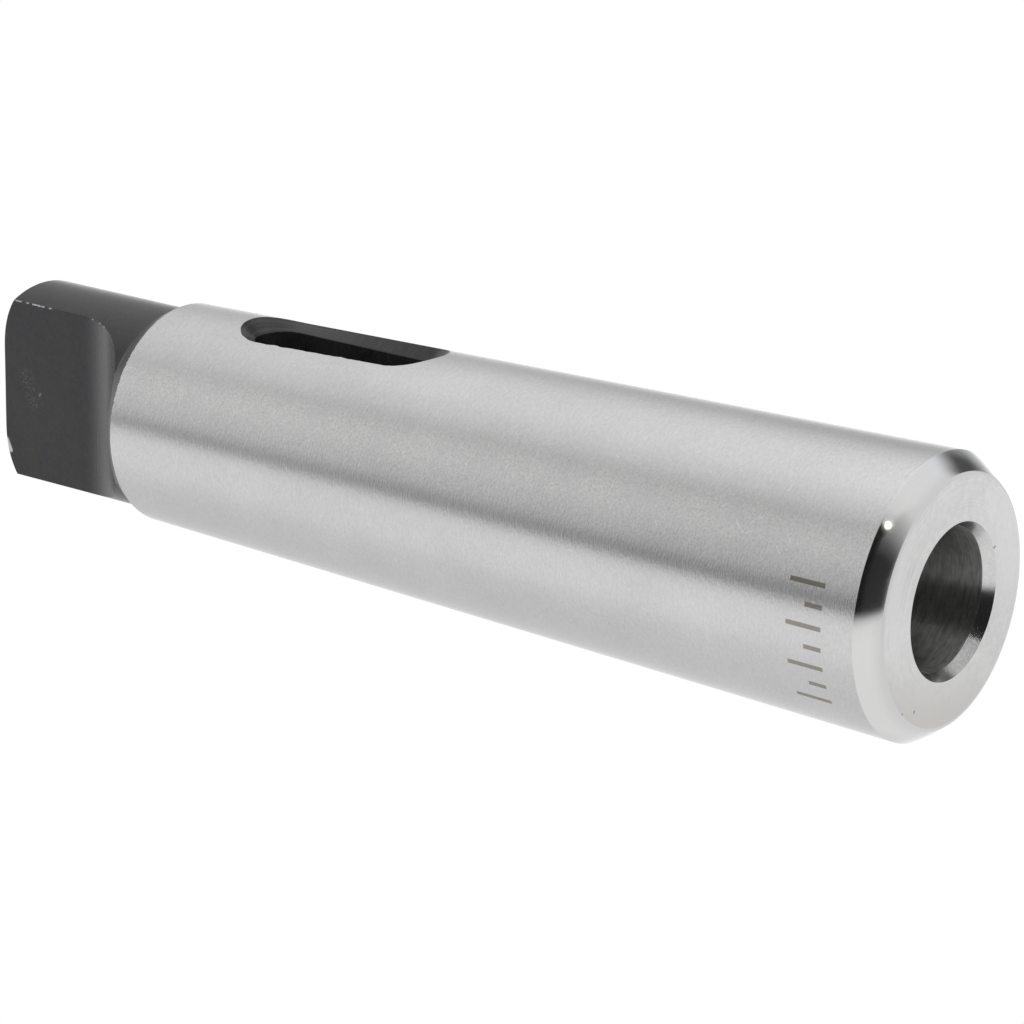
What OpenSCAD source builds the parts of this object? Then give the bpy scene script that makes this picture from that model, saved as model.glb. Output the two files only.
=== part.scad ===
// Drill sleeve: number 3 self-holding taper outside, number 1 taper socket inside.
// One turned, milled and ground piece of steel, standing on its large end.
// Z runs along the axis, from the socket's mouth at 0 to the end of the tang.
// The drift slot goes through along X, and the flats of the tang face along Y.

/* [Outer taper] */
// Length over all, from the large end's face to the end of the tang
overall_length = 99; // [97.5:0.5:104]
// Diameter of the taper at its gauge plane
gauge_d = 23.825; // [23.5:0.005:24.4]
// Distance of the gauge plane from the large end's face
gauge_offset = 5; // [3:0.5:7]
// Diameter that the taper loses for each millimetre of length
outer_taper = 0.0502; // [0.046:0.0002:0.054]
// Distance from the large end's face to the small end of the ground taper
ground_length = 80.6; // [78:0.2:82]

/* [Large end] */
// Diameter of the flat face
face_d = 20.9; // [19:0.1:22]
// Length of the crowned chamfer round the face, along the axis
chamfer_length = 1.9; // [1:0.1:3]
// Radius of the chamfer's crown
chamfer_crown_r = 8; // [4:0.5:30]

/* [Socket] */
// Diameter of the socket's taper, taken to the plane of the face
socket_d = 12.065; // [11.9:0.005:12.3]
// Diameter that the socket loses for each millimetre of depth
socket_taper = 0.04988; // [0.047:0.0001:0.053]
// Diameter of the countersink at the face
countersink_d = 13.1; // [12.5:0.1:15]
// Depth of the countersink
countersink_depth = 1; // [0.4:0.1:1.6]
// Diameter of the clearance bore behind the taper
clearance_d = 9.7; // [9.2:0.1:10.2]
// Depth of the clearance bore at its full diameter
clearance_depth = 56; // [53:0.5:60]
// Angle of the drill's point at the bottom
drill_point_angle = 118; // [90:2:140]

/* [Drift slot] */
// Width of the slot, across the flats of a number 1 tang
slot_w = 5.2; // [4.4:0.1:6]
// Length of the slot
slot_length = 19; // [15:0.5:20]
// Distance from the large end's face to the slot's near end
slot_start = 52.5; // [50:0.5:55]
// How far the slot's mouths are wider than the slot, all round
mouth_margin = 1.15; // [0.5:0.05:1.6]
// Depth of the mouths' inner edge below the crown of the taper
mouth_depth = 1.5; // [1.2:0.1:2.5]
// Rise of the mouths' sloping floor, from that edge to the full width
mouth_rise = 0.8; // [0.3:0.1:1.1]

/* [Neck and tang] */
// Diameter of the neck and of the tang
neck_d = 18.4; // [17.6:0.1:19]
// Length of the step down from the ground taper to the neck
step_length = 1.45; // [0.6:0.05:2]
// Thickness of the tang across its flats
tang_t = 7.9; // [7:0.1:9]
// Length of the flats, from the end of the tang to their run-out
flat_length = 9.6; // [8:0.2:12]
// Radius of the milling cutter that leaves the run-out
runout_r = 8.9; // [6:0.1:9.5]
// Diameter of the flat end of the tang, inside its rounding
tang_end_d = 10.8; // [8:0.2:13]
// Radius of the rounding round the end of the tang
tang_round_r = 6.3; // [5.4:0.1:12]

/* [Centre hole] */
// Diameter of the centre hole's cone at the end of the tang
centre_d = 5; // [4:0.1:6]
// Angle of the centre hole's cone
centre_angle = 60; // [50:5:90]
// Diameter of the centre hole's pilot
pilot_d = 2.5; // [1.5:0.1:3]
// Depth of the pilot from the end of the tang
pilot_depth = 5; // [4:0.5:7]

/* [Hidden] */
$fn = 128;
// Run of the cutters past the surfaces that they cut
overrun = 1;
// Radius of the ground taper at a distance z from the face
function taper_r(z) = gauge_d / 2 + (gauge_offset - z) * outer_taper / 2;
// Radius of the socket's taper at a depth z
function socket_r(z) = socket_d / 2 - z * socket_taper / 2;

face_r = face_d / 2;
neck_r = neck_d / 2;
neck_start = ground_length + step_length;
flat_start = overall_length - flat_length;
slot_half = slot_w / 2;
slot_end = slot_start + slot_length;
mouth_half = slot_half + mouth_margin;
mouth_floor = taper_r((slot_start + slot_end) / 2) - mouth_depth;
steel = [0.74, 0.74, 0.72];

// Segment of a circle of radius r that bulges out from the line a to b, seen from the axis
module crown(a, b, r) {
    chord = norm(b - a);
    across = [a[1] - b[1], b[0] - a[0]] / chord;
    centre = (a + b) / 2 + across * sqrt(r * r - chord * chord / 4);
    // Reach of the wedge that cuts the segment out, in radii
    reach = 1.5;
    intersection() {
        translate(centre) circle(r);
        polygon([centre, centre + reach * (a - centre), centre + reach * (b - centre)]);
    }
}

// Half section of the turned blank
module blank_section() {
    face_edge = [face_r, 0];
    chamfer_edge = [taper_r(chamfer_length), chamfer_length];
    polygon([
        [0, 0],
        face_edge,
        chamfer_edge,
        [taper_r(ground_length), ground_length],
        [neck_r, neck_start],
        [neck_r, overall_length - tang_round_r],
        [0, overall_length - tang_round_r]
    ]);
    crown(face_edge, chamfer_edge, chamfer_crown_r);
    tang_end_section();
}

// Half section of the tang's rounded end
module tang_end_section() {
    translate([0, overall_length - tang_round_r])
        intersection() {
            square([neck_r, tang_round_r]);
            union() {
                square([tang_end_d / 2, tang_round_r]);
                translate([tang_end_d / 2, 0]) circle(tang_round_r);
            }
        }
}

// Taper socket with its countersink, clearance bore and drill point
module socket() {
    mouth_r = socket_r(countersink_depth);
    flare = (countersink_d / 2 - mouth_r) / countersink_depth;
    taper_depth = (socket_d - clearance_d) / socket_taper;
    point_depth = clearance_d / 2 / tan(drill_point_angle / 2);
    rotate_extrude()
        polygon([
            [0, -overrun],
            [countersink_d / 2 + flare * overrun, -overrun],
            [mouth_r, countersink_depth],
            [clearance_d / 2, taper_depth],
            [clearance_d / 2, clearance_depth],
            [0, clearance_depth + point_depth]
        ]);
}

// Cut of a cutter with the half section of its children, moved along the slot.
// The section's first axis is across the slot, and its second points out along X.
module along_slot(half) {
    for (z = [slot_start + half, slot_end - half])
        translate([0, 0, z]) rotate([0, 90, 0]) rotate_extrude() children();
    translate([0, 0, slot_start + half]) linear_extrude(slot_length - 2 * half)
        for (side = [0, 1]) mirror([0, side, 0]) rotate(90) mirror([0, 1]) children();
}

// Half section of the slot's mouth: full width outside, sloping in to the slot's own width
module mouth_section() {
    reach = taper_r(0) + overrun;
    polygon([
        [0, mouth_floor - overrun],
        [slot_half, mouth_floor - overrun],
        [slot_half, mouth_floor],
        [mouth_half, mouth_floor + mouth_rise],
        [mouth_half, reach],
        [0, reach]
    ]);
}

// Drift slot, right through the sleeve, with a widened mouth at each end
module drift_slot() {
    reach = taper_r(0) + overrun;
    along_slot(slot_half) translate([0, -reach]) square([slot_half, 2 * reach]);
    for (turn = [0, 180]) rotate(turn) along_slot(slot_half) mouth_section();
}

// Flats of the tang, each with the run-out that the milling cutter leaves
module tang_flats() {
    width = neck_d + 2 * overrun;
    for (side = [-1, 1]) {
        translate([0, side * (tang_t / 2 + runout_r), flat_start])
            rotate([0, 90, 0]) cylinder(r = runout_r, h = width, center = true);
        translate([-width / 2, side * (tang_t / 2 + runout_r) - runout_r, flat_start])
            cube([width, 2 * runout_r, flat_length + overrun]);
    }
}

// Centre hole in the end of the tang
module centre_hole() {
    cone = (centre_d - pilot_d) / 2 / tan(centre_angle / 2);
    flare = overrun * tan(centre_angle / 2);
    translate([0, 0, overall_length]) rotate_extrude()
        polygon([
            [0, overrun],
            [centre_d / 2 + flare, overrun],
            [pilot_d / 2, -cone],
            [pilot_d / 2, -pilot_depth],
            [0, -pilot_depth]
        ]);
}

module sleeve() {
    color(steel)
        difference() {
            rotate_extrude() blank_section();
            socket();
            drift_slot();
            tang_flats();
            centre_hole();
        }
}

sleeve();
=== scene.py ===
"""Drill sleeve with a number 3 taper outside and a number 1 taper socket inside.

The sleeve is turned on a profile in millimetres, milled, eased along its edges, finished zone
by zone and then brought to metres. It stands on its large end, with its axis along Z.
"""

import math

import bmesh
import bpy
from mathutils import Matrix, Vector, noise


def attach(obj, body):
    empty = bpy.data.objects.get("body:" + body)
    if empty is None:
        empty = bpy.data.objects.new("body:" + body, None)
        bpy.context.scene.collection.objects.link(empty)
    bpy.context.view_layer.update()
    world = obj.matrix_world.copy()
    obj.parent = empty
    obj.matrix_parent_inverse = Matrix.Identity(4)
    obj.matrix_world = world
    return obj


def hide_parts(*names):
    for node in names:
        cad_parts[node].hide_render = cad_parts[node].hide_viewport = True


MM = 0.001

# Outer taper and large end
LENGTH = 99.0
GAUGE_D = 23.825
GAUGE_OFFSET = 5.0
OUTER_TAPER = 0.0502
GROUND_LENGTH = 80.6
FACE_D = 20.9
CHAMFER_LENGTH = 1.9
CHAMFER_CROWN_R = 8.0

# Socket
SOCKET_D = 12.065
SOCKET_TAPER = 0.04988
COUNTERSINK_D = 13.1
COUNTERSINK_DEPTH = 1.0
CLEARANCE_D = 9.7
CLEARANCE_DEPTH = 56.0
DRILL_POINT_ANGLE = 118.0

# Drift slot
SLOT_W = 5.2
SLOT_LENGTH = 19.0
SLOT_START = 52.5
MOUTH_MARGIN = 1.15
MOUTH_DEPTH = 1.5
MOUTH_RISE = 0.8

# Neck and tang
NECK_D = 18.4
STEP_LENGTH = 1.45
TANG_T = 7.9
FLAT_LENGTH = 9.6
RUNOUT_R = 8.9
TANG_END_D = 10.8
TANG_ROUND_R = 6.3

# Centre hole
CENTRE_D = 5.0
CENTRE_ANGLE = 60.0
PILOT_D = 2.5
PILOT_DEPTH = 5.0

# Radii of the profile's rounded corners
BORE_EDGE_R = 0.3
SOCKET_MOUTH_R = 0.15
FACE_EDGE_R = 1.6
CHAMFER_EDGE_R = 0.12
GROUND_EDGE_R = 0.12
NECK_ROOT_R = 0.3
CENTRE_EDGE_R = 0.1

# Widths of the broken edges inside the slot's mouths and on the tang
MOUTH_EDGE = 0.07
TANG_EDGE = 0.03
# Only the inner edges of the mouths are broken: those from the first of these depths under the
# mouths' floor to the second of them under the taper
UNDER_FLOOR = 0.3
UNDER_TAPER = 0.15
# Distance that the tang's broken edges keep from the centre hole, which has its own rounding
CENTRE_CLEAR = 0.5

# Run of the cutters past the surfaces that they cut
OVERRUN = 1.0

# Fineness of the mesh
TURN_STEPS = 512
CUTTER_STEPS = 128
CROWN_STEPS = 10
TANG_END_STEPS = 14
# Spacing of the rings that the taper has beside the slot, and how far they go past its ends
RING_SPACING = 0.8
RING_REACH = 2.0
# Tolerance for the place of a point
CLOSE = 1e-3
# Points closer together than this are merged, at a turned shape's seam and after the milling
SEAM = 1e-4
SLIVER = 0.02
# Angle between two faces from which their edge is sharp, for the breaking and for the shading
SHARP = math.radians(28)
SHARP_IN_SHADING = math.radians(32)

SLOT_END = SLOT_START + SLOT_LENGTH
SLOT_MIDDLE = (SLOT_START + SLOT_END) / 2
SLOT_HALF = SLOT_W / 2
NECK_R = NECK_D / 2
NECK_START = GROUND_LENGTH + STEP_LENGTH
FLAT_START = LENGTH - FLAT_LENGTH


def taper_r(z):
    """Radius of the ground taper at a distance z from the face."""
    return GAUGE_D / 2 + (GAUGE_OFFSET - z) * OUTER_TAPER / 2


def socket_r(z):
    """Radius of the socket's taper at a depth z."""
    return SOCKET_D / 2 - z * SOCKET_TAPER / 2


MOUTH_FLOOR = taper_r(SLOT_MIDDLE) - MOUTH_DEPTH

# The mouths were widened by hand: how much wider their rim gets for each mm towards the tang
MOUTH_SPREAD = 0.019
# Reach of the mouths' slopes, as a multiple of their run from the slot to the rim
SLOPE_REACH = 1.3
# How far the rims waver at their side towards -Y, with how many waves for each mm, and the
# spacing of their points
RIM_WAVER = 0.14
RIM_WAVES = 1.1
RIM_SPACING = 0.4

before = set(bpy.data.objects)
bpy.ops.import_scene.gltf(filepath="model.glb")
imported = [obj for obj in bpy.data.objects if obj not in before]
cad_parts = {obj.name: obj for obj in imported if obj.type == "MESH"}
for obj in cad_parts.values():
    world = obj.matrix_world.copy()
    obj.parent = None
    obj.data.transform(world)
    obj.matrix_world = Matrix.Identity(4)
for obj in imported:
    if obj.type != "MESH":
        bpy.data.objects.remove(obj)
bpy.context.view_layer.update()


# Modelling by hand
def take(piece):
    """Selects a piece alone and makes it the active one."""
    bpy.ops.object.select_all(action="DESELECT")
    piece.select_set(True)
    bpy.context.view_layer.objects.active = piece


def edit(piece):
    """Opens a piece for editing with all its points selected."""
    take(piece)
    bpy.ops.object.mode_set(mode="EDIT")
    bpy.ops.mesh.select_mode(type="VERT")
    bpy.ops.mesh.select_all(action="SELECT")


def leave_edit():
    bpy.ops.object.mode_set(mode="OBJECT")


def rise_of(edge):
    """How far an edge reaches along the axis."""
    return abs(edge.verts[0].co.z - edge.verts[1].co.z)


def middle_of(edge):
    return (edge.verts[0].co + edge.verts[1].co) / 2


def is_sharp(edge):
    return edge.calc_face_angle(0) > SHARP


def pick(piece, kind, test):
    """Selects the points, edges or faces of a piece in edit mode that pass a test.

    The test is given the part and its place, which is the middle of an edge or a face.
    """
    bpy.ops.mesh.select_mode(type={"verts": "VERT", "edges": "EDGE", "faces": "FACE"}[kind])
    bpy.ops.mesh.select_all(action="DESELECT")
    shape = bmesh.from_edit_mesh(piece.data)
    for part in getattr(shape, kind):
        if kind == "verts":
            place = part.co
        elif kind == "edges":
            place = middle_of(part)
        else:
            place = part.calc_center_median()
        part.select = test(part, place)
    shape.select_flush_mode()
    bmesh.update_edit_mesh(piece.data)


def named(name):
    """Names the piece that was made last."""
    piece = bpy.context.object
    piece.name = piece.data.name = name
    return piece


def chain(name, points):
    """Draws a chain of edges through points of a half section, each a radius and a height."""
    bpy.ops.object.select_all(action="DESELECT")
    bpy.ops.mesh.primitive_plane_add(size=1)
    piece = named(name)
    edit(piece)
    bpy.ops.mesh.merge(type="CENTER")
    places = [Vector((r, 0, z)) for r, z in points]
    bpy.ops.transform.translate(value=places[0])
    for near, far in zip(places, places[1:]):
        bpy.ops.mesh.extrude_vertices_move(TRANSFORM_OT_translate={"value": far - near})
    return piece


def arc(start, end, radius, steps):
    """Points of an arc from start to end, both left out, that bulges to the right of the way."""
    a, b = Vector(start), Vector(end)
    chord = b - a
    across = Vector((-chord.y, chord.x)).normalized()
    centre = (a + b) / 2 + across * math.sqrt(radius**2 - (chord.length / 2) ** 2)
    first, last = ((p - centre) for p in (a, b))
    turn = first.angle_signed(last)
    points = []
    for step in range(1, steps):
        angle = math.atan2(first.y, first.x) - turn * step / steps
        points.append((centre.x + radius * math.cos(angle), centre.y + radius * math.sin(angle)))
    return points


def ease_corner(piece, point, radius, segments):
    """Rounds one corner of a half section to a radius."""
    corner = Vector((point[0], 0, point[1]))
    pick(piece, "verts", lambda part, place: (place - corner).length < CLOSE)
    shape = bmesh.from_edit_mesh(piece.data)
    spot = next(part for part in shape.verts if part.select)
    ways = [(edge.other_vert(spot).co - spot.co) for edge in spot.link_edges]
    turn = math.pi - ways[0].angle(ways[1])
    bpy.ops.mesh.bevel(
        offset_type="OFFSET",
        offset=radius * math.tan(turn / 2),
        segments=segments,
        profile=0.5,
        affect="VERTICES",
    )


def cut(piece, cutter):
    """Takes a cutter's shape out of a piece, and the cutter away."""
    take(piece)
    bpy.ops.object.modifier_add(type="BOOLEAN")
    tool = piece.modifiers[-1]
    tool.operation = "DIFFERENCE"
    tool.solver = "EXACT"
    tool.object = cutter
    bpy.ops.object.modifier_apply(modifier=tool.name)
    bpy.data.objects.remove(cutter)


def turn_round(piece):
    """Turns a half section into a closed shape round the Z axis."""
    take(piece)
    bpy.ops.object.modifier_add(type="SCREW")
    lathe = piece.modifiers[-1]
    lathe.axis = "Z"
    lathe.angle = math.tau
    lathe.steps = lathe.render_steps = TURN_STEPS
    lathe.use_merge_vertices = True
    lathe.merge_threshold = SEAM
    bpy.ops.object.modifier_apply(modifier=lathe.name)
    edit(piece)
    bpy.ops.mesh.remove_doubles(threshold=SEAM)
    bpy.ops.mesh.normals_make_consistent(inside=False)
    leave_edit()


def turned_blank():
    """The sleeve as it leaves the lathe: outside, face, socket and centre hole in one profile."""
    face_edge = (FACE_D / 2, 0.0)
    chamfer_edge = (taper_r(CHAMFER_LENGTH), CHAMFER_LENGTH)
    countersink_edge = (COUNTERSINK_D / 2, 0.0)
    socket_mouth = (socket_r(COUNTERSINK_DEPTH), COUNTERSINK_DEPTH)
    clearance_r = CLEARANCE_D / 2
    clearance_edge = (clearance_r, CLEARANCE_DEPTH)
    point_depth = clearance_r / math.tan(math.radians(DRILL_POINT_ANGLE / 2))
    ground_edge = (taper_r(GROUND_LENGTH), GROUND_LENGTH)
    neck_root = (NECK_R, NECK_START)
    tang_end_r = TANG_END_D / 2
    round_height = math.sqrt(TANG_ROUND_R**2 - (NECK_R - tang_end_r) ** 2)
    round_start = (NECK_R, LENGTH - TANG_ROUND_R + round_height)
    pilot_r = PILOT_D / 2
    centre_edge = (CENTRE_D / 2, LENGTH)
    cone_depth = (CENTRE_D - PILOT_D) / 2 / math.tan(math.radians(CENTRE_ANGLE / 2))
    low, high = SLOT_START - RING_REACH, SLOT_END + RING_REACH
    profile = [
        (0.0, CLEARANCE_DEPTH + point_depth),
        clearance_edge,
        (clearance_r, (SOCKET_D - CLEARANCE_D) / SOCKET_TAPER),
        socket_mouth,
        countersink_edge,
        face_edge,
        *arc(face_edge, chamfer_edge, CHAMFER_CROWN_R, CROWN_STEPS),
        chamfer_edge,
        (taper_r(low), low),
        (taper_r(high), high),
        ground_edge,
        neck_root,
        round_start,
        *arc(round_start, (tang_end_r, LENGTH), TANG_ROUND_R, TANG_END_STEPS),
        (tang_end_r, LENGTH),
        centre_edge,
        (pilot_r, LENGTH - cone_depth),
        (pilot_r, LENGTH - PILOT_DEPTH),
        (0.0, LENGTH - PILOT_DEPTH),
    ]
    # Each rounded corner with its radius and its number of segments
    rounded = [
        (clearance_edge, BORE_EDGE_R, 3),
        (socket_mouth, SOCKET_MOUTH_R, 3),
        (face_edge, FACE_EDGE_R, 8),
        (chamfer_edge, CHAMFER_EDGE_R, 3),
        (ground_edge, GROUND_EDGE_R, 3),
        (neck_root, NECK_ROOT_R, 3),
        (centre_edge, CENTRE_EDGE_R, 2),
    ]
    blank = chain("sleeve_blank", profile)
    for corner, radius, segments in rounded:
        ease_corner(blank, corner, radius, segments)
    pick(blank, "edges", lambda part, place: place.x > CLEARANCE_D and low < place.z < high)
    bpy.ops.mesh.subdivide(number_cuts=round((high - low) / RING_SPACING) - 1)
    leave_edit()
    turn_round(blank)
    return blank


def cutter_circle(name, radius, steps, centre, fill):
    """Draws a circle that faces along X, as the start of a cutter, and opens it for editing."""
    bpy.ops.object.select_all(action="DESELECT")
    bpy.ops.mesh.primitive_circle_add(
        vertices=steps,
        radius=radius,
        fill_type=fill,
        location=centre,
        rotation=(0, math.pi / 2, 0),
    )
    cutter = named(name)
    bpy.ops.object.transform_apply(location=True, rotation=True, scale=True)
    edit(cutter)
    return cutter


def slot_cutter(name, rings):
    """A cutter along X for the drift slot. Each ring gives its place along X and its half width."""
    middle = SLOT_START + SLOT_HALF
    start, half = rings[0]
    centre = (start, 0, middle)
    cutter = cutter_circle(name, half, CUTTER_STEPS, centre, "NGON")
    bpy.ops.transform.rotate(value=math.pi / CUTTER_STEPS, orient_axis="X", center_override=centre)
    for (near, wide), (far, next_wide) in zip(rings, rings[1:]):
        growth = next_wide / wide
        bpy.ops.mesh.extrude_region_move(TRANSFORM_OT_translate={"value": (far - near, 0, 0)})
        bpy.ops.transform.resize(value=(1, growth, growth), center_override=(far, 0, middle))
    straight = SLOT_LENGTH - SLOT_W
    pick(cutter, "verts", lambda part, place: place.z > middle)
    bpy.ops.transform.translate(value=(0, 0, straight))
    pick(cutter, "edges", lambda part, place: rise_of(part) > straight)
    bpy.ops.mesh.subdivide(number_cuts=round(straight / RIM_SPACING) - 1)
    bpy.ops.mesh.select_all(action="SELECT")
    bpy.ops.mesh.normals_make_consistent(inside=False)
    leave_edit()
    return cutter


def tilt_slopes(cutter):
    """Moves the outer edge of each slope so that the slope meets the taper at the rim.

    The rim gets wider towards the tang, and its side towards -Y wavers.
    """
    edit(cutter)
    shape = bmesh.from_edit_mesh(cutter.data)
    for spot in shape.verts:
        x, y, z = spot.co
        if not MOUTH_FLOOR + CLOSE < abs(x) < taper_r(0):
            continue
        middle = min(max(z, SLOT_START + SLOT_HALF), SLOT_END - SLOT_HALF)
        outward = Vector((y, z - middle)).normalized()
        margin = MOUTH_MARGIN + MOUTH_SPREAD * (z - SLOT_MIDDLE) * abs(outward.x)
        wave = noise.noise((z * RIM_WAVES, math.copysign(1, x), 0))
        margin += RIM_WAVER * max(-outward.x, 0) * wave
        rim_y, rim_z = outward * (SLOT_HALF + margin) + Vector((0, middle))
        rise = math.sqrt(taper_r(rim_z) ** 2 - rim_y**2) - MOUTH_FLOOR
        edge_y, edge_z = outward * (SLOT_HALF + SLOPE_REACH * margin) + Vector((0, middle))
        spot.co = (math.copysign(MOUTH_FLOOR + SLOPE_REACH * rise, x), edge_y, edge_z)
    bmesh.update_edit_mesh(cutter.data)
    leave_edit()


def mill_slot(piece):
    """Mills the drift slot through, with a mouth at each side that slopes out to its full width."""
    mouth_half = SLOT_HALF + SLOPE_REACH * MOUTH_MARGIN
    mouth_side = [
        (MOUTH_FLOOR, SLOT_HALF),
        (MOUTH_FLOOR + SLOPE_REACH * MOUTH_RISE, mouth_half),
        (taper_r(0) + OVERRUN, mouth_half),
    ]
    rings = [(-place, half) for place, half in reversed(mouth_side)] + mouth_side
    cutter = slot_cutter("slot_mill", rings)
    tilt_slopes(cutter)
    cut(piece, cutter)


def mill_flats(piece):
    """Mills the two flats of the tang, each with the run-out that its cutter leaves."""
    width = NECK_D + 2 * OVERRUN
    rise = FLAT_LENGTH + OVERRUN
    for side in (-1, 1):
        centre = (-width / 2, side * (TANG_T / 2 + RUNOUT_R), FLAT_START)
        cutter = cutter_circle("flat_mill", RUNOUT_R, 4 * CUTTER_STEPS, centre, "NOTHING")
        pick(cutter, "verts", lambda part, place: place.z > FLAT_START + CLOSE)
        bpy.ops.mesh.delete(type="VERT")
        pick(cutter, "verts", lambda part, place: place.z > FLAT_START - CLOSE)
        bpy.ops.mesh.extrude_vertices_move(TRANSFORM_OT_translate={"value": (0, 0, rise)})
        bpy.ops.mesh.select_all(action="SELECT")
        bpy.ops.mesh.edge_face_add()
        bpy.ops.mesh.extrude_region_move(TRANSFORM_OT_translate={"value": (width, 0, 0)})
        bpy.ops.mesh.select_all(action="SELECT")
        bpy.ops.mesh.normals_make_consistent(inside=False)
        leave_edit()
        cut(piece, cutter)


def merge_slivers(piece, distance):
    """Merges the points that a cutter left closer together than a distance."""
    edit(piece)
    bpy.ops.mesh.remove_doubles(threshold=distance)
    bpy.ops.mesh.dissolve_degenerate(threshold=distance / 2)
    leave_edit()


def break_edges(piece, width, test):
    """Breaks the sharp edges whose middle passes a test."""
    edit(piece)
    pick(piece, "edges", lambda part, place: is_sharp(part) and test(place))
    bpy.ops.mesh.bevel(
        offset_type="OFFSET",
        offset=width,
        segments=2,
        profile=0.5,
        affect="EDGES",
        clamp_overlap=False,
        loop_slide=False,
    )
    leave_edit()


def inside_mouths(place):
    """Whether a place lies inside a mouth of the slot, clear of its rim."""
    deep = MOUTH_FLOOR - UNDER_FLOOR < place.xy.length < taper_r(place.z) - UNDER_TAPER
    return SLOT_START - RING_REACH < place.z < SLOT_END + RING_REACH and deep


def on_tang(place):
    """Whether a place lies on the neck or the tang, clear of the centre hole."""
    return place.z > NECK_START and place.xy.length > CENTRE_D / 2 + CENTRE_CLEAR


def sleeve():
    """The whole sleeve in millimetres: turned, milled, and with its milled edges broken."""
    piece = turned_blank()
    mill_slot(piece)
    mill_flats(piece)
    merge_slivers(piece, SLIVER)
    break_edges(piece, MOUTH_EDGE, inside_mouths)
    break_edges(piece, TANG_EDGE, on_tang)
    piece.name = piece.data.name = "sleeve_turned"
    return piece


# Finishes
class Value:
    """A socket of a material's nodes, so that shader maths reads as plain arithmetic."""

    def __init__(self, nodes, socket):
        self.nodes = nodes
        self.socket = socket

    def maths(self, operation, *values):
        inputs = dict(enumerate(values))
        return self.nodes.node("ShaderNodeMath", {"operation": operation}, inputs)

    def __add__(self, other):
        return self.maths("ADD", self, other)

    def __sub__(self, other):
        return self.maths("SUBTRACT", self, other)

    def __rsub__(self, other):
        return self.maths("SUBTRACT", other, self)

    def __mul__(self, other):
        return self.maths("MULTIPLY", self, other)

    def __truediv__(self, other):
        return self.maths("DIVIDE", self, other)

    def __pow__(self, other):
        return self.maths("POWER", self, other)

    def __abs__(self):
        return self.maths("ABSOLUTE", self)

    def at_most(self, other):
        return self.maths("MINIMUM", self, other)

    def at_least(self, other):
        return self.maths("MAXIMUM", self, other)

    def rise(self, low, high):
        """A soft step from 0 at low to 1 at high. With low above high it falls."""
        return self.nodes.node(
            "ShaderNodeMapRange",
            {"interpolation_type": "SMOOTHSTEP"},
            {"Value": self, "From Min": low, "From Max": high},
        )

    __radd__ = __add__
    __rmul__ = __mul__


def degrees_round(x, y):
    """Degrees round the axis, from +X towards +Y."""
    return y.maths("ARCTAN2", y, x) * math.degrees(1)


class Nodes:
    """The node tree of a material or a world, with methods that add nodes to it."""

    def __init__(self, tree):
        self.tree = tree

    def node(self, kind, settings=None, inputs=None, output=0):
        """Adds a node, and gives one of its outputs as a value."""
        node = self.tree.nodes.new(kind)
        for name, value in (settings or {}).items():
            if name == "stops":
                self.fill_ramp(node.color_ramp, value)
            else:
                setattr(node, name, value)
        for name, value in (inputs or {}).items():
            self.feed(node.inputs[name], value)
        return Value(self, node.outputs[output])

    def feed(self, socket, value):
        if isinstance(value, Value):
            self.tree.links.new(value.socket, socket)
        else:
            socket.default_value = value

    def fill_ramp(self, ramp, stops):
        """Sets a ramp's stops, each a place from 0 to 1 and a level of grey."""
        while len(ramp.elements) < len(stops):
            ramp.elements.new(0.5)
        for element, (place, level) in zip(ramp.elements, stops):
            element.position = place
            element.color = (level, level, level, 1)

    def parts(self, vector):
        """The three parts of a vector."""
        split = self.node("ShaderNodeSeparateXYZ", None, {0: vector})
        return [Value(self, output) for output in split.socket.node.outputs]

    def vector(self, operation, *values, output=0):
        """Maths on whole vectors."""
        inputs = dict(enumerate(values))
        return self.node("ShaderNodeVectorMath", {"operation": operation}, inputs, output)

    def scaled(self, vector, factor):
        """A vector times a number."""
        inputs = {0: vector, "Scale": factor}
        return self.node("ShaderNodeVectorMath", {"operation": "SCALE"}, inputs)

    def blend(self, factor, low, high):
        """A mix of two colours."""
        mix = self.node("ShaderNodeMix", {"data_type": "RGBA"}, {"Factor": factor, 6: low, 7: high})
        return Value(self, mix.socket.node.outputs[2])

    def noise(self, vector, scale, detail=2.0, roughness=0.5):
        """Plain noise round 0.5. The scale counts grains for each millimetre of the vector."""
        inputs = {"Vector": vector, "Scale": scale, "Detail": detail, "Roughness": roughness}
        return self.node("ShaderNodeTexNoise", None, inputs)


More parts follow.
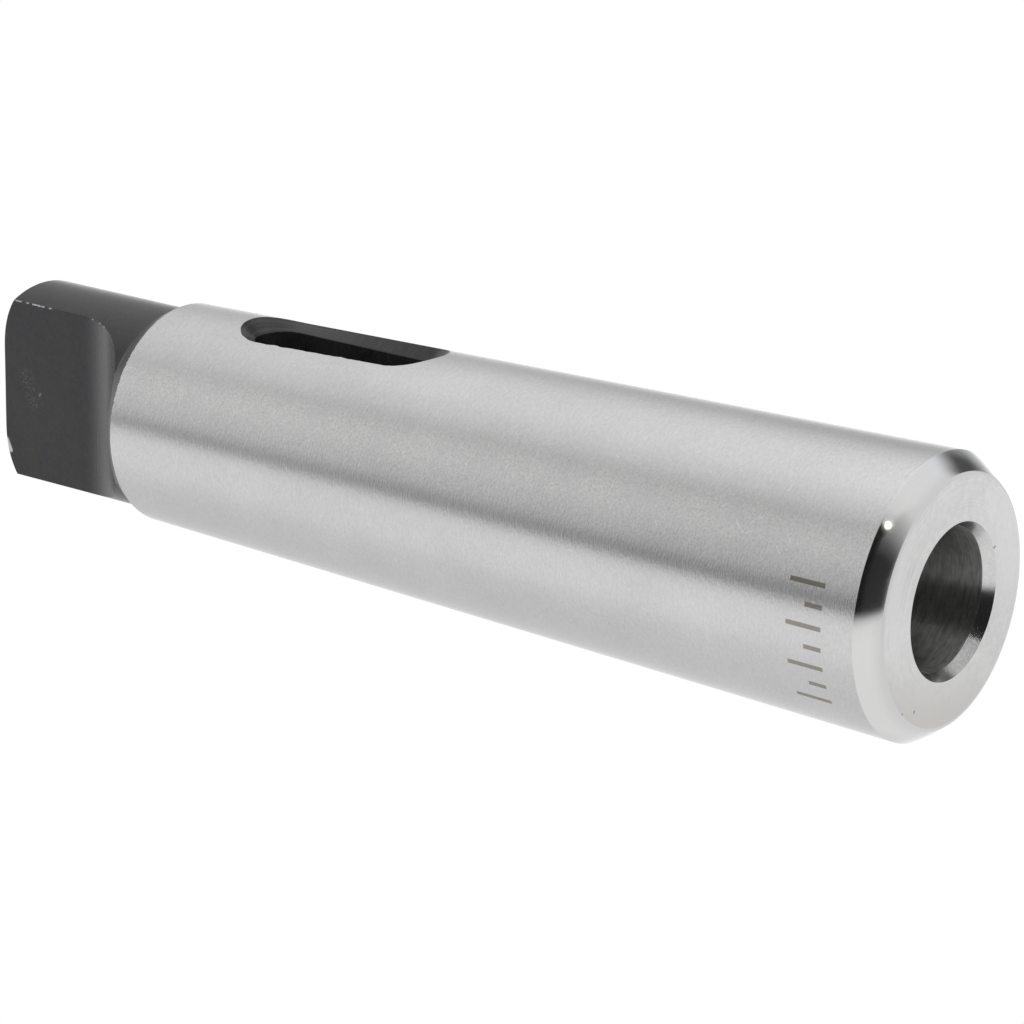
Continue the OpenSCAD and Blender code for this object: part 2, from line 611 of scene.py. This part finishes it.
class Finish(Nodes):
    """A finish of the steel: a material whose patterns lie in millimetres on the sleeve."""

    def __init__(self, name):
        self.material = bpy.data.materials.new(name)
        self.material.use_nodes = True
        super().__init__(self.material.node_tree)
        self.shader = self.tree.nodes["Principled BSDF"]
        metres = self.node("ShaderNodeTexCoord", output="Object")
        self.place = self.scaled(metres, 1 / MM)
        self.x, self.y, self.z = self.parts(self.place)
        self.r = (self.x * self.x + self.y * self.y) ** 0.5
        self.turn = degrees_round(self.x, self.y)

    def stretched(self, across, along):
        """The place, with its own scales across and along the axis."""
        return self.vector("MULTIPLY", self.place, (across, across, along))

    def round_axis(self, across, around):
        """A flat place for rings: the radius and the degrees round the axis, each with a scale."""
        scaled = {0: self.r * across, 1: self.turn * around}
        return self.node("ShaderNodeCombineXYZ", None, scaled)

    def set(self, **values):
        """Sets inputs of the shader, each under its own name."""
        for name, value in values.items():
            self.feed(self.shader.inputs[name.replace("_", " ").title()], value)

    def shape(self, height, depth):
        """Bumps the surface by a height between 0 and 1, of a depth in millimetres."""
        bump = self.node(
            "ShaderNodeBump", None, {"Height": height, "Distance": depth * MM, "Strength": 1.0}
        )
        self.feed(self.shader.inputs["Normal"], bump)

    def off_line(self, start, end):
        """Distance in millimetres from a straight line between two points."""
        start, end = Vector(start), Vector(end)
        way = end - start
        from_start = self.vector("SUBTRACT", self.place, start)
        along = self.vector("DOT_PRODUCT", from_start, way / way.length_squared, output="Value")
        along = along.at_least(0.0).at_most(1.0)
        return self.vector("DISTANCE", from_start, self.scaled(way, along), output="Value")

    def mark(self, start, end, width):
        """1 on a line between two points, fading to 0 from 0.3 of a width to the whole width."""
        return self.off_line(start, end).rise(width, width * 0.3)

    def marks(self, lines, width):
        """1 on any of some lines, each from one point to another."""
        found = 0.0
        for start, end in lines:
            found = self.mark(start, end, width).at_least(found)
        return found

    def stroke(self, angle, start, end, width):
        """1 on a bar along the taper at an angle, with square ends, and 0 beside it."""
        soft = 0.05
        half = math.degrees(width / 2 / taper_r(start))
        across = abs(self.turn - angle).rise(half * 1.15, half * 0.85)
        along = self.z.rise(start - soft, start + soft) * self.z.rise(end + soft, end - soft)
        return across * along


def turned_steel(finish, colour, roughness, grain):
    """Bare steel with tool lines round the axis: rougher across the lines than along them."""
    finish.set(metallic=1.0, base_color=colour, roughness=roughness)
    finish.set(anisotropic=grain, anisotropic_rotation=0.25)


# Scratches on the ground taper, from and to an angle in degrees and a distance from the face
SCRATCHES = [
    ((-57.3, 13.0), (-53.2, 12.45)),
    ((-55.6, 12.55), (-53.0, 12.1)),
    ((-58.9, 14.15), (-61.5, 13.5)),
    ((-56.8, 14.5), (-58.9, 14.2)),
    ((-61.6, 13.2), (-60.0, 12.6)),
    ((-63.6, 10.1), (-66.7, 9.6)),
    ((-59.6, 9.2), (-61.4, 9.0)),
    ((-53.4, 16.2), (-51.8, 15.7)),
    ((-41.0, 11.0), (-37.6, 11.0)),
    ((-64.8, 21.8), (-67.0, 21.5)),
]

# Row of plain etched strokes near the large end, each across the taper
STROKES = 7
STROKES_FROM = -74.0
STROKE_PITCH = -8.5
STROKE_START = 4.9
STROKE_LENGTH = 3.3
STROKE_WIDTH = 0.4


def on_taper(angle, z):
    """Point of the outer taper at an angle in degrees from +X and a distance from the face."""
    turn = math.radians(angle)
    return (taper_r(z) * math.cos(turn), taper_r(z) * math.sin(turn), z)


def ground_steel():
    """Outer taper, ground between centres: fine lines, a rubbed side and a few scratches."""
    finish = Finish("ground_steel")
    lines = finish.noise(finish.stretched(2.2, 5.5), 1.0, 2.0, 0.6)
    hairs = finish.noise(finish.stretched(1.2, 10.0), 1.0, 2.0, 0.6)
    grains = finish.noise(finish.place, 5.5, 2.0, 0.6)
    dents = finish.noise(finish.place, 4.0, 2.0, 0.6)
    clouds = finish.noise(finish.place, 0.12, 3.0, 0.6)
    stains = finish.noise(finish.place, 0.35, 2.0, 0.6)
    rubbed = finish.turn.rise(-80, -70) * finish.turn.rise(-44, -54)
    below = finish.turn.rise(-55, -78)
    scratches = finish.marks([[on_taper(*end) for end in line] for line in SCRATCHES], 0.07)
    etched = 0.0
    for number in range(STROKES):
        angle = STROKES_FROM + number * STROKE_PITCH
        reach = STROKE_LENGTH if number % 2 == 0 else STROKE_LENGTH / 2
        stroke = finish.stroke(angle, STROKE_START, STROKE_START + reach, STROKE_WIDTH)
        etched = stroke.at_least(etched)
    tone = lines * 0.3 + hairs * 0.2 + clouds * 0.3 + dents * 0.2
    tone = tone + (grains - 0.5) * (0.2 + rubbed * 0.5)
    colour = finish.blend(tone, (0.44, 0.44, 0.435, 1), (0.84, 0.84, 0.845, 1))
    warm = rubbed * finish.turn.rise(-68, -60) * stains.rise(0.45, 0.6) * grains.rise(0.45, 0.6)
    colour = finish.blend(warm * 0.3, colour, (0.8, 0.78, 0.7, 1))
    colour = finish.blend(scratches * (0.1 + grains * 0.6), colour, (0.9, 0.9, 0.9, 1))
    colour = finish.blend(etched * (0.7 + lines * 0.3), colour, (0.3, 0.27, 0.235, 1))
    roughness = 0.235 + (clouds - 0.5) * 0.05 + (dents - 0.5) * 0.04 + etched * 0.15
    turned_steel(finish, colour, roughness, 1.0)
    relief = lines + hairs * (0.3 + below * 0.6) + dents * (0.2 + rubbed * 0.3)
    finish.shape(relief - scratches * 0.3, 0.012)
    return finish.material


def polished_steel():
    """Chamfer, polished on the lathe, with a duller inner edge, fine swirls and a painted
    reflection tint.
    """
    finish = Finish("polished_steel")
    lines = finish.noise(finish.stretched(0.5, 7.0), 1.0, 3.0, 0.6)
    swirls = finish.noise(finish.stretched(2.5, 6.0), 1.0, 2.0, 0.6)
    clouds = finish.noise(finish.place, 0.5, 3.0, 0.6)
    dull = finish.r.rise(FACE_D / 2 + 0.9, FACE_D / 2 + 0.1)
    scuffs = swirls.rise(0.58, 0.68)
    roughness = 0.11 + (clouds - 0.5) * 0.05 + dull * 0.03 + scuffs * 0.05
    # Painted reflection tint: the steel is bluish on the side towards +Y and warm towards -Y, as
    # its reflections are
    reflection_tinted = finish.blend(finish.y.rise(-8, 0), (0.7, 0.695, 0.69, 1), (0.7, 0.705, 0.72, 1))
    colour = finish.blend(lines * 0.3, reflection_tinted, (0.6, 0.6, 0.6, 1))
    colour = finish.blend(dull * 0.8, colour, (0.6, 0.6, 0.6, 1))
    turned_steel(finish, colour, roughness, 0.5)
    finish.shape(lines + swirls * 0.5, 0.0006)
    return finish.material


def reamed_steel():
    """Countersink: duller than the chamfer, with chatter, fine grains and painted shade on its side
    towards -X.
    """
    finish = Finish("reamed_steel")
    lines = finish.noise(finish.stretched(0.5, 7.0), 1.0, 3.0, 0.6)
    grains = finish.noise(finish.place, 4.0, 2.0, 0.6)
    clouds = finish.noise(finish.place, 0.6, 3.0, 0.6)
    low_down = finish.turn.rise(125, 140).at_least(finish.turn.rise(-160, -176))
    # Painted shade: the colour darkens towards black from 132 to 180 degrees and from -160 to -178
    # degrees round the axis
    painted_shade = finish.turn.rise(132, 144) * 0.32 + finish.turn.rise(166, 180) * 0.5
    painted_shade = finish.turn.rise(-160, -178).at_least(painted_shade).at_most(0.75)
    tone = grains * 0.6 + clouds * 0.4
    tone = tone * (0.3 + low_down * 0.7) + (1 - low_down) * 0.35
    colour = finish.blend(tone.rise(0.3, 0.65), (0.5, 0.5, 0.5, 1), (0.7, 0.7, 0.695, 1))
    colour = finish.blend(painted_shade, colour, (0.05, 0.05, 0.05, 1))
    turned_steel(finish, colour, 0.19 + (clouds - 0.5) * 0.08, 0.5)
    finish.shape(lines * 0.3 + grains * (0.2 + low_down * 0.8), 0.002)
    return finish.material


# Dark specks on the large end's face
SPECKS = [
    ((2.95, 5.75, 0.0), (3.1, 6.05, 0.0)),
    ((-7.46, -7.15, 0.0), (-7.5, -7.05, 0.0)),
    ((-7.83, -5.32, 0.0), (-7.7, -5.3, 0.0)),
]


def faced_steel():
    """Flat face at the large end, with the tool's fine rings, a few coarser arcs and specks."""
    finish = Finish("faced_steel")
    rings = finish.noise(finish.round_axis(7.0, 0.0), 1.0, 3.0)
    arcs = finish.noise(finish.round_axis(2.6, 0.012), 1.0, 3.0)
    clouds = finish.noise(finish.place, 0.3, 3.0, 0.6)
    mottles = finish.noise(finish.place, 1.5, 3.0, 0.6)
    patches = finish.y.rise(-2, -7) * clouds.rise(0.4, 0.6)
    specks = finish.marks(SPECKS, 0.14)
    tone = rings * 0.3 + clouds * 0.35 + mottles * 0.35
    colour = finish.blend(tone.rise(0.3, 0.7), (0.59, 0.59, 0.59, 1), (0.75, 0.75, 0.745, 1))
    sides = abs(finish.y).rise(3, 9) * finish.x.rise(-5, 0)
    colour = finish.blend(sides * 0.6, colour, (0.75, 0.75, 0.75, 1))
    low = (finish.x + finish.y * 0.25).rise(-3.5, -10.5)
    colour = finish.blend(low, colour, (0.56, 0.55, 0.53, 1))
    colour = finish.blend(patches * arcs.rise(0.52, 0.62) * 0.4, colour, (0.53, 0.53, 0.51, 1))
    colour = finish.blend(specks * 0.8, colour, (0.1, 0.1, 0.1, 1))
    turned_steel(finish, colour, 0.36 + (clouds - 0.5) * 0.1, 0.7)
    finish.shape(rings + arcs * patches, 0.0012)
    return finish.material


def bored_steel():
    """Socket, reamed and ground, and the drilled bore behind it."""
    finish = Finish("bored_steel")
    lines = finish.noise(finish.stretched(0.5, 4.0), 1.0, 3.0, 0.65)
    spots = finish.noise(finish.place, 1.6, 3.0, 0.6)
    clouds = finish.noise(finish.place, 0.5, 3.0, 0.6)
    tone = lines * 0.6 + spots * 0.25 + clouds * 0.15
    colour = finish.blend(tone.rise(0.25, 0.7), (0.18, 0.18, 0.18, 1), (0.42, 0.417, 0.41, 1))
    turned_steel(finish, colour, 0.42 + (clouds - 0.5) * 0.05, 1.0)
    finish.shape(lines, 0.0025)
    return finish.material


# Edge between the tang's flat and its round, worn bright in places: from and to along the axis
EDGE_WEAR = [(98.1, 96.8), (96.25, 95.9), (95.4, 94.9), (94.75, 94.0), (93.5, 93.05)]
# Places on the flat's run-out, in degrees round its cutter, where its edge is worn too
RUNOUT_WEAR = [9.0, 16.0, 21.0]
# Nick at the end of the flat
NICK = ((-5.2, -3.95, 98.9), (-6.15, -3.95, 98.45))
# Pale smudges on the flat
SMUDGE = ((1.3, -3.95, 96.3), (-1.1, -3.95, 95.4))
SMUDGE_SPOT = ((-0.25, -3.95, 94.75), (-0.05, -3.95, 94.62))


def on_flat_edge(z):
    """Point of the upper edge of the flat, or of its run-out, at a distance from the face."""
    drop = max(FLAT_START - z, 0)
    y = TANG_T / 2 + RUNOUT_R - math.sqrt(RUNOUT_R**2 - drop**2)
    return (math.sqrt(NECK_R**2 - y**2), -y, z)


def black_oxide():
    """Neck, tang and drift slot: machined, blackened, and worn bright in a few places."""
    finish = Finish("black_oxide")
    grain = finish.noise(finish.place, 6.0, 3.0, 0.7)
    clouds = finish.noise(finish.place, 0.4, 3.0, 0.6)
    tints = finish.noise(finish.place, 0.9, 3.0, 0.6)
    mottles = finish.noise(finish.place, 2.2, 3.0, 0.65)
    tone = grain * 0.35 + mottles * 0.4 + clouds * 0.25
    colour = finish.blend(tone.rise(0.35, 0.65), (0.005, 0.005, 0.006, 1), (0.026, 0.026, 0.027, 1))
    tint = finish.blend(tints.rise(0.4, 0.6), (0.013, 0.014, 0.019, 1), (0.020, 0.016, 0.014, 1))
    colour = finish.blend(0.5, colour, tint)
    beyond = abs(finish.z - SLOT_MIDDLE) - (SLOT_LENGTH - SLOT_W) / 2
    off_slot = (finish.y**2 + beyond.at_least(0.0) ** 2) ** 0.5
    on_slopes = off_slot.rise(SLOT_HALF - 0.1, SLOT_HALF + 0.1) * finish.z.rise(76, 74)
    beside_slot = finish.node("ShaderNodeCombineXYZ", None, {0: off_slot * 5.0, 1: finish.z * 0.12})
    cutter_lines = finish.noise(beside_slot, 1.0, 2.0)
    cross_lines = finish.noise(finish.stretched(0.6, 2.6), 1.0, 3.0, 0.6)
    milled = finish.z.rise(62, 68)
    streaks = cross_lines.rise(0.35, 0.7) * (1 - milled) * 0.6
    streaks = cutter_lines.rise(0.4, 0.62) * milled + streaks
    colour = finish.blend(on_slopes * streaks * 0.7, colour, (0.045, 0.044, 0.043, 1))
    edge_lines = [(on_flat_edge(start), on_flat_edge(end)) for start, end in EDGE_WEAR]
    starts = [FLAT_START - RUNOUT_R * math.sin(math.radians(turn)) for turn in RUNOUT_WEAR]
    flecks = [(on_flat_edge(z), on_flat_edge(z - 0.1)) for z in starts]
    worn = finish.marks(edge_lines, 0.11) * grain.rise(0.42, 0.52)
    worn = (finish.marks(flecks, 0.11) * 0.35).at_least(worn)
    worn = finish.mark(*NICK, 0.3).at_least(worn)
    smudge = finish.mark(*SMUDGE, 1.2) * grain.rise(0.52, 0.64) * 0.25
    smudge = (finish.mark(*SMUDGE_SPOT, 0.16) * 0.5).at_least(smudge)
    colour = finish.blend(smudge, colour, (0.2, 0.2, 0.2, 1))
    colour = finish.blend(worn, colour, (0.62, 0.61, 0.6, 1))
    finish.set(base_color=colour, metallic=worn, roughness=0.28 + (clouds - 0.5) * 0.1)
    finish.shape(grain + on_slopes * streaks * 2.0, 0.003)
    return finish.material


def finish_zones(piece):
    """Gives each zone of the sleeve its finish.

    The small numbers in the tests are tolerances, in millimetres where they are for a place.
    """

    def on_outer_taper(part, place):
        near = abs(place.xy.length - taper_r(place.z)) < 0.04
        level = abs(part.normal.z - OUTER_TAPER / 2) < 0.2
        return CHAMFER_LENGTH < place.z < GROUND_LENGTH and near and level

    def on_chamfer(part, place):
        return place.z < CHAMFER_LENGTH + 0.2 and place.xy.length > FACE_D / 2 - 0.3

    def on_face(part, place):
        outside = place.xy.length > COUNTERSINK_D / 2 - 0.1
        return place.z < 0.05 and outside and part.normal.z < -0.98

    def in_countersink(part, place):
        return place.z < COUNTERSINK_DEPTH - 0.04 and place.xy.length < COUNTERSINK_D / 2

    def in_bore(part, place):
        radial = place.xy.length
        inward = part.normal.xy.dot(place.xy) < 0 or place.z > CLEARANCE_DEPTH
        near = radial < socket_r(0) + 0.03 and place.z < CLEARANCE_DEPTH + 4
        slot_wall = abs(part.normal.x) < 0.02 and in_slot_length(place)
        return near and inward and not slot_wall

    def in_slot_length(place):
        return SLOT_START - 0.1 < place.z < SLOT_END + 0.1

    zones = [
        (black_oxide(), lambda part, place: True),
        (bored_steel(), in_bore),
        (ground_steel(), on_outer_taper),
        (polished_steel(), on_chamfer),
        (faced_steel(), on_face),
        (reamed_steel(), in_countersink),
    ]
    for number, (material, test) in enumerate(zones):
        piece.data.materials.append(material)
        edit(piece)
        pick(piece, "faces", test)
        piece.active_material_index = number
        bpy.ops.object.material_slot_assign()
        leave_edit()


def smooth(piece):
    """Smooth shading that keeps long faces true beside the narrow ones of an eased edge."""
    take(piece)
    bpy.ops.object.shade_smooth_by_angle(angle=SHARP_IN_SHADING)
    bpy.ops.object.modifier_add(type="WEIGHTED_NORMAL")
    weighting = piece.modifiers[-1]
    weighting.keep_sharp = True
    bpy.ops.object.modifier_apply(modifier=weighting.name)


def to_metres(piece):
    """Brings the piece from millimetres to metres."""
    take(piece)
    piece.scale = (MM, MM, MM)
    bpy.ops.object.transform_apply(location=False, rotation=False, scale=True)


# Studio
# Light round the sleeve, seen by its reflections: an angle from +X towards +Y, and a level.
# The camera's side is at -90, the softbox at 20, the backdrop's bright edge at 103.
# TANG_SIDE is what lies a little above level, HIGH_SIDE what lies further up, and FACE_SIDE what
# lies level and below.
TANG_SIDE = [
    (-180, 0.76), (-150, 0.84), (-130, 1.03), (-110, 1.03), (-103, 0.94), (-99, 0.76),
    (-93, 0.17), (-88, 0.15), (-82, 0.32), (-74, 0.48), (-64, 0.63), (-54, 0.75), (-42, 0.73),
    (-29, 0.62), (-18, 0.84), (-8, 1.0), (4, 1.18), (15, 1.21), (32, 1.15), (44, 0.99),
    (56, 0.75), (66, 0.56), (75, 0.51), (84, 0.63), (92, 1.23), (103, 1.85), (115, 1.3),
    (132, 0.97), (150, 0.81), (180, 0.76),
]
FACE_SIDE = [
    (-180, 0.95), (-120, 0.98), (-108, 0.93), (-102, 0.7), (-97, 0.18), (-93, 0.04),
    (-45, 0.035), (-32, 0.13), (-19, 0.36), (-7, 0.58), (6, 0.88), (20, 0.95), (38, 0.95),
    (60, 0.95), (180, 0.95),
]
HIGH_SIDE = [
    (-180, 0.76), (-150, 0.76), (-120, 0.68), (-100, 0.66), (-92, 0.65), (-86, 0.80),
    (-80, 0.90), (-60, 0.82), (-20, 0.72), (10, 0.56), (30, 0.5), (60, 0.55), (78, 0.8),
    (90, 1.5), (105, 2.2), (120, 1.3), (140, 0.8), (180, 0.76),
]
# How many degrees further the face side's light reaches round towards the camera's side, where
# it isn't seen far down
LIGHT_REACH = 14
# Warm lamp, low down towards +X: the way to it, its level, and the angles of its soft edge
LAMP_WAY = (0.775, -0.285, -0.564)
LAMP = (8.0, 7.8, 7.0, 1)
LAMP_EDGE = (math.radians(2.6), math.radians(1.6))

# Floor: its radius and its drop below the large end, both in metres
FLOOR_RADIUS = 0.9
FLOOR_DROP = 0.0002


def studio():
    """White room for the camera. Reflections see its table, softbox, backdrop and dark corner."""
    world = bpy.data.worlds.new("studio")
    bpy.context.scene.world = world
    world.use_nodes = True
    world.cycles.sampling_method = "NONE"
    nodes = Nodes(world.node_tree)
    way = nodes.node("ShaderNodeTexCoord", output="Generated")
    x, y, z = nodes.parts(way)
    turn = degrees_round(x, y)
    reach = z.rise(-0.66, -0.54) * turn.rise(-55, -30) * turn.rise(60, 30) * LIGHT_REACH
    tang_side, high_side, face_side = (
        nodes.node(
            "ShaderNodeValToRGB",
            {"stops": [(0.5 + angle / 360, level) for angle, level in side]},
            {"Fac": toward / 360 + 0.5},
        )
        for side, toward in ((TANG_SIDE, turn), (HIGH_SIDE, turn), (FACE_SIDE, turn + reach))
    )
    # The corner between the softbox and the backdrop is dark, except far down
    gap = turn.rise(42, 64) * turn.rise(96, 72) * z.rise(-0.45, -0.28) * 0.92
    face_side = nodes.blend(gap, face_side, (0.02, 0.02, 0.02, 1))
    # So is the table on the camera's side, and straight down it is pale
    table = turn.rise(-97, -93) * turn.rise(-20, -24) * z.rise(-0.64, -0.57)
    face_side = nodes.blend(table, face_side, (0.015, 0.015, 0.015, 1))
    face_side = nodes.blend(z.rise(-0.86, -1.0), face_side, (0.85, 0.85, 0.85, 1))
    room = nodes.blend(z.rise(0.25, -0.1), tang_side, face_side)
    room = nodes.blend(z.rise(0.44, 0.84), room, high_side)
    top = nodes.blend(y.rise(0, 0.25), (1.4, 1.4, 1.4, 1), (0.85, 0.85, 0.85, 1))
    room = nodes.blend(z.rise(0.76, 0.93), room, top)
    toward_lamp = nodes.vector("DOT_PRODUCT", way, LAMP_WAY, output="Value")
    outer, inner = LAMP_EDGE
    room = nodes.blend(toward_lamp.rise(math.cos(outer), math.cos(inner)), room, LAMP)
    path = nodes.node("ShaderNodeLightPath").socket.node
    glossy = Value(nodes, path.outputs["Is Glossy Ray"])
    seen = nodes.blend(glossy, (1, 1, 1, 1), room)
    back = world.node_tree.nodes["Background"]
    nodes.feed(back.inputs["Color"], seen)


def floor():
    """Pale floor under the large end, seen from above only, and white at its far edge."""
    bpy.ops.object.select_all(action="DESELECT")
    bpy.ops.mesh.primitive_circle_add(vertices=96, radius=FLOOR_RADIUS, fill_type="NGON")
    piece = named("floor")
    piece.location.z = -FLOOR_DROP
    finish = Finish("pale_floor")
    finish.set(base_color=(0.9, 0.9, 0.9, 1), roughness=0.7)
    shader = Value(finish, finish.shader.outputs[0])
    clear = finish.node("ShaderNodeBsdfTransparent")
    side = finish.node("ShaderNodeNewGeometry", output="Backfacing")
    fade = finish.r.rise(150.0, 500.0)
    shown = (1 - side) * (1 - fade)
    mix = finish.node("ShaderNodeMixShader", None, {0: shown, 1: clear, 2: shader})
    finish.tree.links.new(mix.socket, finish.tree.nodes["Material Output"].inputs["Surface"])
    piece.data.materials.append(finish.material)
    for kind in ("diffuse", "glossy", "transmission", "volume_scatter", "shadow"):
        setattr(piece, "visible_" + kind, False)


def camera():
    """Camera at the photograph's viewing angle, on the large end's side and below it."""
    place = Vector((0.10750376, -0.26963176, -0.15521140))
    right = Vector((0.01886424, 0.59846740, -0.80092503))
    down = Vector((-0.95060791, -0.23749550, -0.19985118))
    forward = Vector((-0.30982051, 0.76513571, 0.56442767))
    lens = bpy.data.cameras.new("camera")
    lens.lens = 145.169
    lens.sensor_width = 36.0
    lens.clip_start = 0.01
    eye = bpy.data.objects.new("camera", lens)
    bpy.context.scene.collection.objects.link(eye)
    turn = Matrix((right, -down, -forward)).transposed()
    eye.matrix_world = Matrix.LocRotScale(place, turn.to_quaternion(), None)
    bpy.context.scene.camera = eye


camera()
studio()
floor()
piece = sleeve()
finish_zones(piece)
smooth(piece)
to_metres(piece)
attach(piece, "root")
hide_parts("sleeve")
bpy.context.scene.view_settings.view_transform = "Standard"
